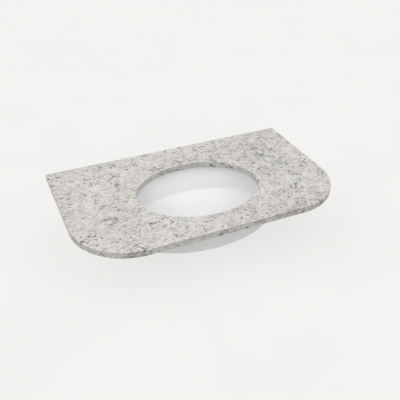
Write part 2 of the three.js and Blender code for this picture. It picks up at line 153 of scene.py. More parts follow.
CARTRIDGE_TOP = -7.5
COLLAR_TOP = -4.5
GROOVES = 24  # on the collar and on each anchor
GROOVED_SIDES = 144
WIRE = 0.5  # the spring's wire, its radius
COIL_RADIUS = 4.9
COILS = 4
PLUNGER_SIDES = 64
PLUNGER_RADIUS = 4
PLUNGER_TOP = 2.8
PLUNGER_FOOT_RADIUS = 5.7
PLUNGER_FOOT_LOW = -21.5
PLUNGER_FOOT_TOP = -17.5
CAP_SIDES = 160
CAP_RADIUS = 30
CAP_LOW = 4.6
CAP_EDGE = 6.8  # the height where its dome starts
CAP_RISE = 2.2
CAP_BOSS_RADIUS = 7
CAP_BOSS_LOW = -1.4
SOCKET_RADIUS = 4.3  # the cap's boss and the collar both go over the plunger
SOCKET_TOP = 3.1
SEAL_SIDES = 128
SEAL = (15, 24)  # its bore and its radius
SEAL_LOW = 3

# Colours, written in 0 to 255
GLAZE = 251
FLOOR_GREY = 200
BACKDROP = (244, 243, 241)
PAINTED_SIDE_SHADE = 0.81  # painted shade: the stone's upright faces are made this share as light as its top

# Each metal: its name, three tones, least and most roughness, size of its clouds, depth of its scratches
METALS = {
    "plain_brass": ("turned_brass", ((196, 164, 92), (212, 181, 108), (224, 196, 130)), (0.28, 0.42), 8, 0.004),
    "zinced_steel": ("zinc_plate", ((176, 181, 188), (196, 201, 206), (211, 214, 214)), (0.26, 0.44), 5, 0.004),
    "chromed_brass": ("bright_chrome", ((186, 189, 192), (194, 197, 199), (201, 203, 205)), (0.05, 0.11), 20, 0.001),
    "spring_steel": ("spring_wire", ((140, 143, 148), (158, 161, 166), (176, 179, 183)), (0.25, 0.4), 3, 0.004),
}

# Each rubber or plastic: its name, two tones, least and most roughness, depth of its moulding texture
MOULDINGS = {
    "silicone": ("clear_sealant", ((224, 224, 219), (234, 234, 230)), (0.35, 0.5), 0.01),
    "black_rubber": ("black_epdm", ((34, 35, 36), (48, 49, 50)), (0.6, 0.8), 0.03),
    "white_nylon": ("white_nylon", ((226, 225, 219), (237, 236, 231)), (0.4, 0.55), 0.01),
    "grey_acetal": ("grey_acetal", ((132, 136, 141), (146, 150, 155)), (0.35, 0.5), 0.01),
}

# Light
ROOM_LIGHT = 0.1  # how far the world lights the object
LAMP_SPREAD = math.radians(70)
LAMPS = {  # each lamp's strength, and where its light comes from
    "over_lamp": (0.4, (0, 0, 1)),
    "front_lamp": (1.36, (0, -1, 1)),
    "left_lamp": (1.22, (-1, 0, 1)),
    "right_lamp": (0.44, (1, 0, 1)),
}
FLOOR_REACH = 9000
FLOOR_LIFT = 0.8  # the share of the floor that glows where it is seen as the background
FLOOR_GLOW = 1.02

# Camera, fitted to the slab's edges in the photo
CAMERA_PLACE = (-0.6597, -1.7557, 1.0566)  # metres
CAMERA_YAW = math.radians(24.04)
CAMERA_PITCH = math.radians(33.63)
CAMERA_LENS = 50
CAMERA_SENSOR = 36
HALF_PIXEL = 0.5 / 400


def srgb(red, green, blue):
    """A colour written in 0 to 255, as the linear colour that a shader takes."""
    def linear(value):
        """One channel of it."""
        share = value / 255
        return share / 12.92 if share <= 0.04045 else ((share + 0.055) / 1.055) ** 2.4
    return (linear(red), linear(green), linear(blue), 1.0)


# Outlines

def oval(half_width, half_depth, sides, centre=(0, 0)):
    """An oval's points, anticlockwise from its right end."""
    return [
        (centre[0] + half_width * math.cos(TURN * k / sides), centre[1] + half_depth * math.sin(TURN * k / sides))
        for k in range(sides)
    ]


def arc(radius, start, end, steps):
    """The points of an arc about (0, 0), both ends included."""
    angles = [start + (end - start) * k / steps for k in range(steps + 1)]
    return [(radius * math.cos(angle), radius * math.sin(angle)) for angle in angles]


def bent(start, middle, end, steps):
    """The points of a curve from start to end that bends towards middle."""
    shares = [k / steps for k in range(steps + 1)]
    return [start.lerp(middle, share).lerp(middle.lerp(end, share), share) for share in shares]


def rounded(corners, steps=3):
    """A closed outline from corners, each with its two coordinates and how far it is rounded."""
    longest = 0.46  # the most of a side that one corner's rounding takes
    done = []
    for i, (*place, radius) in enumerate(corners):
        here = Vector(place)
        if radius == 0:
            done.append(here)
            continue
        before = Vector(corners[i - 1][:2]) - here
        after = Vector(corners[(i + 1) % len(corners)][:2]) - here
        reach = min(radius / math.tan(before.angle(after) / 2), longest * before.length, longest * after.length)
        done += bent(here + before.normalized() * reach, here, here + after.normalized() * reach, steps)
    return done


# Meshes

def linked(name, data):
    """A new object in the scene."""
    made = bpy.data.objects.new(name, data)
    bpy.context.scene.collection.objects.link(made)
    return made


def mesh_object(name, points, faces):
    """An object from points in millimetres."""
    mesh = bpy.data.meshes.new(name)
    mesh.from_pydata([(x * MM, y * MM, z * MM) for x, y, z in points], [], faces)
    mesh.validate()
    return linked(name, mesh)


def tidy(obj):
    """Joins doubled points, drops loose edges, fills pinholes and turns every face outwards."""
    work = bmesh.new()
    work.from_mesh(obj.data)
    bmesh.ops.remove_doubles(work, verts=work.verts, dist=WELD)
    bmesh.ops.dissolve_degenerate(work, edges=work.edges, dist=WELD)
    loose = [edge for edge in work.edges if not edge.link_faces]
    bmesh.ops.delete(work, geom=loose, context="EDGES")
    bmesh.ops.holes_fill(work, edges=[edge for edge in work.edges if edge.is_boundary], sides=0)
    bmesh.ops.recalc_face_normals(work, faces=work.faces)
    work.to_mesh(obj.data)
    work.free()
    return obj


def applied(obj):
    """The object with its modifiers made part of its mesh."""
    bpy.context.view_layer.update()
    evaluated = obj.evaluated_get(bpy.context.evaluated_depsgraph_get())
    mesh = bpy.data.meshes.new_from_object(evaluated)
    obj.modifiers.clear()
    obj.data = mesh
    return tidy(obj)


def banded(rings, closed):
    """The points of rings of as many points each, and the quads between each ring and the next."""
    count = len(rings[0])
    faces = []
    for i in range(len(rings) if closed else len(rings) - 1):
        here = i * count
        there = (i + 1) % len(rings) * count
        for k in range(count):
            after = (k + 1) % count
            faces.append((here + k, here + after, there + after, there + k))
    return [point for ring in rings for point in ring], faces


def lofted(name, rings):
    """A solid skinned over rings, the last ring joined to the first."""
    return tidy(mesh_object(name, *banded(rings, True)))


def capped(name, rings):
    """A solid skinned over rings, closed by a fan at each end."""
    points, faces = banded(rings, False)
    count = len(rings[0])
    for ring, first in ((rings[0], 0), (rings[-1], (len(rings) - 1) * count)):
        middle = len(points)
        points.append(tuple(sum(point[axis] for point in ring) / count for axis in range(3)))
        faces += [(first + k, first + (k + 1) % count, middle) for k in range(count)]
    return tidy(mesh_object(name, points, faces))


def turned(name, profile, sides, centre=(0, 0), grooves=0, groove=0.0):
    """A closed profile of radius and height, turned about an upright axis and grooved where it is widest."""
    widest = max(radius for radius, _ in profile)
    rings = []
    for radius, z in profile:
        ring = []
        for k in range(sides):
            angle = TURN * k / sides
            dip = groove * (0.5 - 0.5 * math.cos(grooves * angle)) if radius == widest else 0.0
            here = radius - dip
            ring.append((centre[0] + here * math.cos(angle), centre[1] + here * math.sin(angle), z))
        rings.append(ring)
    return lofted(name, rings)


def drill(radius, low, high, sides, centre=(0, 0)):
    """A plain cylinder, to cut a bore with."""
    return turned("drill", [(0, low), (radius, low), (radius, high), (0, high)], sides, centre)


def plate(name, outline, holes, low, high):
    """A flat solid from an outline and holes, between two heights."""
    work = bmesh.new()
    loops = [outline] + holes
    for z in (low, high):
        edges = []
        for loop in loops:
            verts = [work.verts.new((x * MM, y * MM, z * MM)) for x, y in loop]
            edges += [work.edges.new((verts[k - 1], verts[k])) for k in range(len(verts))]
        bmesh.ops.triangle_fill(work, edges=edges, use_beauty=True)
    work.verts.ensure_lookup_table()
    total = len(work.verts) // 2
    start = 0
    for loop in loops:
        for k in range(len(loop)):
            a = start + k
            b = start + (k + 1) % len(loop)
            work.faces.new((work.verts[a], work.verts[b], work.verts[b + total], work.verts[a + total]))
        start += len(loop)
    bmesh.ops.recalc_face_normals(work, faces=work.faces)
    mesh = bpy.data.meshes.new(name)
    work.to_mesh(mesh)
    work.free()
    return linked(name, mesh)


def strip(name, outline, width):
    """A strip across Y, from an outline in X and Z."""
    made = plate(name, outline, [], -width / 2, width / 2)
    made.data.transform(Matrix.Rotation(QUARTER, 4, "X"))
    return tidy(made)


def combined(obj, other, operation):
    """obj cut by, or joined with, another solid, which is then removed."""
    cut = obj.modifiers.new("cut", "BOOLEAN")
    cut.operation = operation
    cut.solver = "EXACT"
    cut.object = other
    applied(obj)
    bpy.data.objects.remove(other)
    return obj


def softened(obj, width, segments, angle=50):
    """obj with the edges that bend by more than angle degrees rounded by width."""
    soft = obj.modifiers.new("edges", "BEVEL")
    soft.width = width * MM
    soft.segments = segments
    soft.limit_method = "ANGLE"
    soft.angle_limit = math.radians(angle)
    return applied(obj)


def smoothed(obj, angle=35):
    """obj shaded smooth, but for edges that bend by more than angle degrees."""
    obj.data.shade_smooth()
    obj.data.set_sharp_from_angle(angle=math.radians(angle))
    return obj


def evened(obj, weight=50):
    """obj with its large faces shaded flat and the bend left to the small ones."""
    even = obj.modifiers.new("normals", "WEIGHTED_NORMAL")
    even.keep_sharp = True
    even.weight = weight
    return obj


def shaded(obj, angle=35):
    """obj smoothed and evened, as every piece is but the clamps' small ones."""
    return evened(smoothed(obj, angle), 60)


def placed(obj, body, material, node):
    """obj as the finished piece that stands for a CAD node."""
    obj.data.materials.clear()
    obj.data.materials.append(material)
    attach(obj, body)
    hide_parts(node)


# Materials

class Surface:
    """A procedural material under construction, round one principled shader.

    inputs are the shader's plain values. Its roughness is among them where nodes drive it too, for viewers that
    don't read the nodes.
    """

    def __init__(self, name, inputs):
        self.material = bpy.data.materials.new(name)
        self.material.use_nodes = True
        self.tree = self.material.node_tree
        self.shader = self.tree.nodes["Principled BSDF"]
        for key, value in inputs.items():
            self.shader.inputs[key].default_value = value
        self.place = self.node("ShaderNodeTexCoord").outputs["Object"]

    def node(self, kind, **settings):
        """A new node."""
        made = self.tree.nodes.new(kind)
        for key, value in settings.items():
            setattr(made, key, value)
        return made

    def put(self, socket, value):
        """Feeds a socket from another one, or sets it."""
        if isinstance(value, bpy.types.NodeSocket):
            self.tree.links.new(value, socket)
        else:
            socket.default_value = value

    def stretched(self, scale, source):
        """A place scaled along each axis, so that a pattern stretches where the scale is under 1."""
        made = self.node("ShaderNodeMapping")
        self.put(made.inputs["Vector"], source)
        made.inputs["Scale"].default_value = scale
        return made.outputs["Vector"]

    def noise_node(self, size, detail, roughness, source=None):
        """A noise texture with features of about size millimetres."""
        made = self.node("ShaderNodeTexNoise")
        self.put(made.inputs["Vector"], source or self.place)
        made.inputs["Scale"].default_value = 1 / (size * MM)
        made.inputs["Detail"].default_value = detail
        made.inputs["Roughness"].default_value = roughness
        return made

    def noise(self, size, detail=4.0, roughness=0.55, source=None):
        """Noise from 0 to 1."""
        return self.noise_node(size, detail, roughness, source).outputs["Fac"]

    def warped(self, size, amount):
        """The place, pushed about by noise of a size, by up to amount millimetres."""
        push = self.node("ShaderNodeVectorMath", operation="MULTIPLY_ADD")
        self.put(push.inputs[0], self.noise_node(size, 3.0, 0.5).outputs["Color"])
        push.inputs[1].default_value = (amount * MM * 2,) * 3
        self.put(push.inputs[2], self.place)
        return push.outputs[0]

    def grains(self, size, source):
        """Cells of about size millimetres, each with its own random value."""
        made = self.node("ShaderNodeTexVoronoi")
        self.put(made.inputs["Vector"], source)
        made.inputs["Scale"].default_value = 1 / (size * MM)
        return made.outputs["Color"]

    def maths(self, operation, *values):
        """A sum worked out by a node."""
        made = self.node("ShaderNodeMath", operation=operation)
        for socket, value in zip(made.inputs, values):
            self.put(socket, value)
        return made.outputs[0]

    def added(self, value, share, rest):
        """share of a value, on top of the rest."""
        return self.maths("MULTIPLY_ADD", value, share, rest)

    def spread(self, value, low, high, to_low=0.0, to_high=1.0):
        """value from low..high onto to_low..to_high, held at the ends."""
        made = self.node("ShaderNodeMapRange")
        self.put(made.inputs["Value"], value)
        for key, number in (("From Min", low), ("From Max", high), ("To Min", to_low), ("To Max", to_high)):
            made.inputs[key].default_value = number
        return made.outputs["Result"]

    def upright(self):
        """1 on faces that stand upright, 0 on level ones."""
        apart = self.node("ShaderNodeSeparateXYZ")
        self.put(apart.inputs[0], self.node("ShaderNodeTexCoord").outputs["Normal"])
        return self.spread(self.maths("ABSOLUTE", apart.outputs["Z"]), 0.3, 0.9, 1.0, 0.0)

    def mixed(self, share, first, second, blend="MIX"):
        """The first colour, with a share of the second blended in."""
        made = self.node("ShaderNodeMix", data_type="RGBA", blend_type=blend)
        self.put(made.inputs["Factor"], share)
        self.put(made.inputs[6], first)
        self.put(made.inputs[7], second)
        return made.outputs[2]

    def ramp(self, value, stops):
        """A colour for a value, from stops that each give a value and its colour."""
        made = self.node("ShaderNodeValToRGB")
        self.put(made.inputs["Fac"], value)
        elements = made.color_ramp.elements
        while len(elements) < len(stops):
            elements.new(0.5)
        for element, (position, colour) in zip(elements, stops):
            element.position = position
            element.color = colour
        return made.outputs["Color"]

    def colour(self, value):
        """Gives the surface its colour."""
        self.put(self.shader.inputs["Base Color"], value)

    def rough(self, value, least, most):
        """Gives the surface its roughness, from least to most over the middle of a noise."""
        self.put(self.shader.inputs["Roughness"], self.spread(value, 0.3, 0.7, least, most))

    def bump(self, height, depth, strength, after=None):
        """Gives the surface a relief of depth millimetres, on top of another one if after is given."""
        made = self.node("ShaderNodeBump")
        made.inputs["Strength"].default_value = strength
        made.inputs["Distance"].default_value = depth * MM
        self.put(made.inputs["Height"], height)
        if after is not None:
            self.put(made.inputs["Normal"], after)
        self.put(self.shader.inputs["Normal"], made.outputs["Normal"])
        return made.outputs["Normal"]


def stone_material():
    """Polished granite: a warm grey ground of soft patches, with flecks, pale crystals and cracks in drifts; painted
    shade on upright faces.
    """
    def grey(value):
        """The stone's warm grey, as light as value."""
        return srgb(value + 2.8, value, value - 4.8)

    s = Surface("polished_granite", {"Roughness": 0.3, "IOR": 1.5})
    near = s.stretched((0.8, 1.0, 0.9), s.warped(6, 2.5))
    wide = s.stretched((0.8, 1.0, 1.0), s.warped(30, 10))
    laid = s.stretched((0.5, 1.0, 0.8), s.warped(20, 7))
    # 1 where flecks, crystals and cracks gather
    drift = s.spread(s.noise(46, 3, 0.65, wide), 0.51, 0.61)
    # The ground: a broad drift of tone, patches, small patches and grains
    tone = s.added(s.noise(190, 1, 0.5, wide), -0.6, -0.8)
    tone = s.added(s.noise(34, 3, 0.6, wide), 1.5, tone)
    tone = s.added(s.noise(11, 3, 0.6, near), 1.42, tone)
    tone = s.added(s.grains(3.4, near), 0.4, tone)
    ground = s.ramp(tone, [(0.0, grey(160)), (0.5, grey(209)), (1.0, grey(232))])
    # Pale crystals
    pale = s.spread(s.added(drift, 0.07, s.noise(8, 2, 0.5, near)), 0.62, 0.68)
    ground = s.mixed(s.maths("MULTIPLY", pale, 0.75), ground, grey(240))
    # Dark flecks, laid across the slab
    fleck = s.spread(s.added(drift, 0.11, s.noise(8, 3, 0.55, laid)), 0.645, 0.68)
    dark = s.ramp(s.noise(2.2, 3, 0.6, near), [(0.35, grey(74)), (0.65, grey(112))])
    ground = s.mixed(s.maths("MULTIPLY", fleck, 0.85), ground, dark)
    # Cracks, along the middle value of a noise, broken off by another one
    line = s.maths("ABSOLUTE", s.maths("SUBTRACT", s.noise(32, 4, 0.6, laid), 0.5))
    broken = s.spread(s.added(drift, 0.10, s.noise(24, 2, 0.5, near)), 0.56, 0.61)
    crack = s.maths("MULTIPLY", s.spread(line, 0.010, 0.022, 0.85, 0.0), broken)
    ground = s.mixed(crack, ground, dark)
    # Painted shade: every upright face is darkened to a share of the top's colour, standing in for the less light it
    # gets
    painted_shade_tint = (PAINTED_SIDE_SHADE, PAINTED_SIDE_SHADE, PAINTED_SIDE_SHADE, 1.0)
    s.colour(s.mixed(s.upright(), ground, painted_shade_tint, "MULTIPLY"))
    s.rough(s.noise(6, 4), 0.24, 0.42)
    s.bump(s.noise(1.3, 3), 0.05, 0.35)
    return s.material


def china_material():
    """White glaze over vitreous china: glossy, with a very slight waviness and a faint grey depth."""
    def white(shift):
        """The glaze's white, made lighter by shift."""
        return srgb(GLAZE + shift, GLAZE + shift, GLAZE + shift + 1)

    s = Surface("white_glaze", {"Roughness": 0.1, "IOR": 1.52, "Coat Weight": 0.4, "Coat Roughness": 0.04})
    s.colour(s.ramp(s.noise(90, 3), [(0.3, white(-3)), (0.7, white(1))]))
    s.rough(s.noise(30, 4), 0.09, 0.17)
    wave = s.bump(s.noise(26, 2), 0.25, 0.25)
    s.bump(s.noise(1.6, 2), 0.01, 0.3, wave)
    return s.material


def metal_material(name, tones, rough, size, scratch):
    """A metal with a cloudy tone, an uneven polish and fine scratches."""
    s = Surface(name, {"Metallic": 1.0, "Roughness": sum(rough) / 2})
    s.colour(s.ramp(s.noise(size, 5, 0.6), [(at, srgb(*tone)) for at, tone in zip((0.3, 0.52, 0.7), tones)]))
    s.rough(s.noise(size / 2, 5, 0.65), *rough)
    s.bump(s.noise(0.7, 4, 0.6, s.stretched((1.0, 1.0, 0.15), s.place)), scratch, 0.6)
    return s.material


def moulded_material(name, tones, rough, relief):
    """A rubber or plastic with moulding texture and a little bloom."""
    s = Surface(name, {"Roughness": sum(rough) / 2})
    s.colour(s.ramp(s.noise(6, 5, 0.6), [(at, srgb(*tone)) for at, tone in zip((0.28, 0.72), tones)]))
    s.rough(s.noise(3, 4), *rough)
    s.bump(s.noise(0.5, 3), relief, 0.5)
    return s.material


# Slab and basin

def slab():
    """The slab, with its arrises rounded, its oval cut-out and the six blind holes for the anchors."""
    outline = [(SLAB_HALF_WIDTH, SLAB_BACK), (-SLAB_HALF_WIDTH, SLAB_BACK)]
    corner_x = SLAB_HALF_WIDTH - FRONT_CORNER_RADIUS
    corner_y = SLAB_FRONT + FRONT_CORNER_RADIUS
    for side, start in ((-1, math.pi), (1, math.pi + QUARTER)):
        corner = arc(FRONT_CORNER_RADIUS, start, start + QUARTER, CORNER_STEPS)
        outline += [(side * corner_x + x, corner_y + y) for x, y in corner]
    cutout = oval(*CUTOUT, CUTOUT_SIDES, (0, BOWL_Y))
    made = softened(plate("slab_dressed", outline, [cutout], 0, SLAB_THICKNESS), SLAB_ARRIS, 4, angle=35)
    for seat in clamp_seats():
        hole = drill(ANCHOR_HOLE_RADIUS, -OVERCUT, ANCHOR_HOLE_DEPTH, 40, seat["stud"])
        combined(made, hole, "DIFFERENCE")
    return shaded(made, 50)


def basin():
    """The basin from its section: mouth, draft, floor, drain seat and boss, outside and rim.

    A ring of the section is half its width, half its depth, its height and its middle's y.
    """
    def rim(reach, z):
        """A ring that lies reach outside the rim's edge."""
        return (RIM[0] + reach, RIM[1] + reach, z, BOWL_Y)

    mouth = [
        rim(out + MOUTH_RADIUS - RIM_LEDGE, RIM_TOP - MOUTH_RADIUS + up)
        for out, up in arc(MOUTH_RADIUS, QUARTER, math.pi, MOUTH_STEPS)[:-1]
    ]

    # The bowl's inside, from the mouth down. Each ring also has its lean, which is the wall's turn from upright.
    bowl = (RIM[0] - RIM_LEDGE, RIM[1] - RIM_LEDGE)
    lean_end = QUARTER - FLOOR_EDGE_SLOPE
    fillet_top = -FLOOR_EDGE_DEPTH + FLOOR_FILLET * (math.sin(lean_end) - math.sin(WALL_DRAFT))
    wall = -fillet_top - MOUTH_RADIUS
    inner = []
    for k in range(WALL_STEPS):
        depth = wall * k / WALL_STEPS
        inset = depth * math.tan(WALL_DRAFT)
        inner.append((bowl[0] - inset, bowl[1] - inset, RIM_TOP - MOUTH_RADIUS - depth, BOWL_Y, WALL_DRAFT))
    for k in range(FILLET_STEPS + 1):
        lean = WALL_DRAFT + (lean_end - WALL_DRAFT) * k / FILLET_STEPS
        inset = wall * math.tan(WALL_DRAFT) + FLOOR_FILLET * (math.cos(WALL_DRAFT) - math.cos(lean))
        z = RIM_TOP + fillet_top - FLOOR_FILLET * (math.sin(lean) - math.sin(WALL_DRAFT))
        inner.append((bowl[0] - inset, bowl[1] - inset, z, BOWL_Y, lean))
    edge = inner[-1]
    seat_edge = SEAT_RADIUS + 2
    for k in range(1, FLOOR_STEPS + 1):
        share = k / FLOOR_STEPS
        sink = math.sin(share * FLOOR_BEND) / math.sin(FLOOR_BEND)
        inner.append((
            edge[0] + (seat_edge - edge[0]) * share,
            edge[1] + (seat_edge - edge[1]) * share,
            edge[2] + (SEAT_TOP - edge[2]) * sink,
            BOWL_Y + (DRAIN_Y - BOWL_Y) * share,
            edge[4] + (QUARTER - edge[4]) * share,
        ))

    drain = [
        (SEAT_RADIUS + 0.6, SEAT_TOP - 0.5), (SEAT_RADIUS, SEAT_TOP - 1.4),
        (SEAT_RADIUS, SEAT_Z + 0.8), (SEAT_RADIUS - 0.8, SEAT_Z),
        (HOLE_RADIUS + 1, SEAT_Z), (HOLE_RADIUS, SEAT_Z - 1),
        (HOLE_RADIUS, BOSS_UNDERSIDE + 1), (HOLE_RADIUS + 1, BOSS_UNDERSIDE),
        (BOSS_RADIUS - 2, BOSS_UNDERSIDE), (BOSS_RADIUS - 0.7, BOSS_UNDERSIDE + 0.6),
        (BOSS_RADIUS, BOSS_UNDERSIDE + 2),
    ]
    drain += [
        (BOSS_RADIUS + BOSS_FILLET - out, FLOOR_UNDERSIDE - BOSS_FILLET + up)
        for out, up in arc(BOSS_FILLET, 0, QUARTER, 5)
    ]
    drain = [(radius, radius, z, DRAIN_Y) for radius, z in drain]

    # The bowl's outside is its inside moved out by the china's thickness. The first three rings of the inside lie
    # beside the rim, and the last one is the drain seat's edge.
    outside = [
        (a + CHINA * math.cos(lean), b + CHINA * math.cos(lean), z - CHINA * math.sin(lean), y)
        for a, b, z, y, lean in reversed(inner[3:-1])
    ]
    outside = [ring for ring in outside if ring[0] < RIM[0] - RIM_REACH and ring[2] < RIM_UNDERSIDE - 6]
    root = [
        rim(RIM_ROOT_RADIUS + out - RIM_REACH, RIM_UNDERSIDE - RIM_ROOT_RADIUS + up)
        for out, up in arc(RIM_ROOT_RADIUS, math.pi, QUARTER, 7)
    ]
    low_edge = [
        rim(out - RIM_EDGE_RADIUS, RIM_UNDERSIDE + RIM_EDGE_RADIUS + up)
        for out, up in arc(RIM_EDGE_RADIUS, -QUARTER, 0, 6)
    ]
    top_edge = [
        rim(out - RIM_EDGE_RADIUS, RIM_TOP - RIM_EDGE_RADIUS + up)
        for out, up in arc(RIM_EDGE_RADIUS, 0, QUARTER, 6)
    ]

    sections = mouth + [ring[:4] for ring in inner] + drain + outside + root + low_edge + top_edge
    rings = [[(x, y, z) for x, y in oval(a, b, BASIN_SIDES, (0, middle))] for a, b, z, middle in sections]
    return shaded(lofted("basin_dressed", rings), 40)


def sealant():
    """The squeezed bead: full at mid-height at the rim's edge, drawn in where it was wiped at the mouth."""
    wander = [(0.0, -2.0), (0.35, -1.5), (0.55, -1.0), (0.35, -0.5), (0.0, 0.0)]
    section = [(SEALANT_EDGE + inset, z) for inset, z in wander]
    section += [(SEALANT_MOUTH - inset * 0.8, z) for inset, z in reversed(wander)]
    rings = [
        [(x, y, z) for x, y in oval(RIM[0] - inward, RIM[1] - inward, BASIN_SIDES, (0, BOWL_Y))]
        for inward, z in section
    ]
    return shaded(lofted("rim_sealant_dressed", rings), 40)


# Clamps

def clamp_seats():
    """Where each clamp sits on the rim: its point with its outward turn, its stud's centre and its number."""
    seats = []
    for i in range(CLAMPS):
        angle = TURN * i / CLAMPS
        x, y = RIM[0] * math.cos(angle), BOWL_Y + RIM[1] * math.sin(angle)
        out = Vector((math.cos(angle) / RIM[0], math.sin(angle) / RIM[1])).normalized()
        turn = Matrix.Rotation(math.atan2(out.y, out.x), 4, "Z")
        seats.append({
            "place": Matrix.Translation((x * MM, y * MM, 0)) @ turn,
            "stud": (x + STUD_OUT * out.x, y + STUD_OUT * out.y),
            "number": i + 1,
        })
    return seats


def thread(crest, root, pitch, low, high, sides, per_turn, lead):
    """Rings of an outside thread between two heights, which fades to its root over lead at both ends."""
    flank_slope, flank_start = 2.6, 0.15  # these leave a flat at the thread's crest and one at its root
    count = round((high - low) / pitch * per_turn)
    rings = []
    for i in range(count + 1):
        z = low + (high - low) * i / count
        fade = max(0.0, min(1.0, (z - low) / lead, (high - z) / lead))
        ring = []
        for k in range(sides):
            angle = TURN * k / sides
            phase = (z / pitch - k / sides) % 1.0
            flank = flank_slope * (0.5 - abs(phase - 0.5)) - flank_start
            radius = root + (crest - root) * min(1.0, max(0.0, flank)) * fade
            ring.append((radius * math.cos(angle), radius * math.sin(angle), z))
        rings.append(ring)
    return rings


def wing_nut():
    """Wing nut, its top at z = 0."""
    tip = Vector((12.4, -6.9))
    wing = bent(Vector((5.2, -0.9)), Vector((11.8, -0.9)), Vector((15, -6.5)), 10)
    for k in range(1, 9):
        angle = -math.pi * k / 10
        wing.append(tip + Vector((2.6 * math.cos(angle), 2.8 * math.sin(angle))))
    wing += bent(Vector((9.6, -8.4)), Vector((5.4, -6.6)), Vector((3.2, -6.9)), 8)
    wing.append(Vector((3.2, -0.9)))
    low, lowest, thickness = -7.5, -9.7, 2.4
    nut = turned("wing_nut", rounded([
        (0, low, 0), (4.7, low, 0.7), (5.6, -0.9, 0.4), (5.6, 0, 0.5), (0, 0, 0),
    ]), 48)
    for side in (1, -1):
        blade = strip("blade", [(side * x, max(lowest, z)) for x, z in wing], thickness)
        combined(nut, softened(blade, 0.6, 3), "UNION")
    return combined(nut, drill(STUD_BORE, low - OVERCUT, OVERCUT, 40), "DIFFERENCE")


def rim_clip():
    """Cranked clip with its slot: the toe under the rim, the foot on the slab."""
    toe_end, heel, inner_bend, foot_end, foot_thickness = -8, 28.5, 26, 34, 2.5
    outline = rounded([
        (toe_end, CLIP_TOP, 0.5), (toe_end, CLIP_LOW, 0.5), (heel, CLIP_LOW, 3.2),
        (heel, CLIP_FOOT - foot_thickness, 0.8), (foot_end, CLIP_FOOT - foot_thickness, 0.5),
        (foot_end, CLIP_FOOT, 0.5), (inner_bend, CLIP_FOOT, 3.2), (inner_bend, CLIP_TOP, 0.8),
    ], 6)
    slot_radius, slot_ends = 3.6, ((9, QUARTER), (19, -QUARTER))
    slot = [
        (middle + x, y) for middle, start in slot_ends for x, y in arc(slot_radius, start, start + math.pi, 16)
    ]
    clip = strip("rim_clip", outline, CLIP_WIDTH)
    combined(clip, plate("slot", slot, [], CLIP_LOW - OVERCUT, CLIP_TOP + OVERCUT), "DIFFERENCE")
    return softened(clip, 0.35, 2)


def clamps(looks):
    """Six sets of anchor, stud, clip, washer and wing nut; one mesh of each is shared."""
    chamfer = 0.4
    anchor = turned("anchor_insert", [
        (STUD_BORE, 0), (ANCHOR_RADIUS - chamfer, 0), (ANCHOR_RADIUS, chamfer),
        (ANCHOR_RADIUS, ANCHOR_LENGTH - chamfer), (ANCHOR_RADIUS - chamfer, ANCHOR_LENGTH),
        (STUD_BORE, ANCHOR_LENGTH),
    ], GROOVED_SIDES, (STUD_OUT, 0), grooves=GROOVES, groove=0.3)
    rings = thread(STUD_RADIUS, STUD_ROOT, STUD_PITCH, STUD_LOW, STUD_HIGH, STUD_SIDES, per_turn=6, lead=1)
    stud = capped("clamp_stud", rings)
    stud.data.transform(Matrix.Translation((STUD_OUT * MM, 0, 0)))
    washer = turned("clamp_washer", rounded([
        (STUD_BORE, CLAMP_WASHER_LOW, 0.15), (CLAMP_WASHER_RADIUS, CLAMP_WASHER_LOW, 0.35),
        (CLAMP_WASHER_RADIUS, CLAMP_WASHER_TOP, 0.35), (STUD_BORE, CLAMP_WASHER_TOP, 0.15),
    ], 2), 56, (STUD_OUT, 0))
    shapes = {
        "anchor_insert": (smoothed(anchor), "plain_brass"),
        "clamp_stud": (smoothed(stud), "zinced_steel"),
        "rim_clip": (smoothed(rim_clip()), "zinced_steel"),
        "clamp_washer": (smoothed(washer), "zinced_steel"),
        "wing_nut": (smoothed(wing_nut()), "zinced_steel"),
    }
    for seat in clamp_seats():
        number = seat["number"]
        for name, (form, slot) in shapes.items():
            piece = linked(f"{name}_{number}_dressed", form.data)
            piece.matrix_world = seat["place"]
            if name == "wing_nut":
                stud_end = Matrix.Translation((STUD_OUT * MM, 0, WING_NUT_TOP * MM))
                piece.matrix_world = seat["place"] @ stud_end @ Matrix.Rotation(WING_NUT_TURN * number, 4, "Z")
            placed(evened(piece), "sink_top", looks[slot], f"{name}_{number}")
    for form, _ in shapes.values():
        bpy.data.objects.remove(form)


# Waste

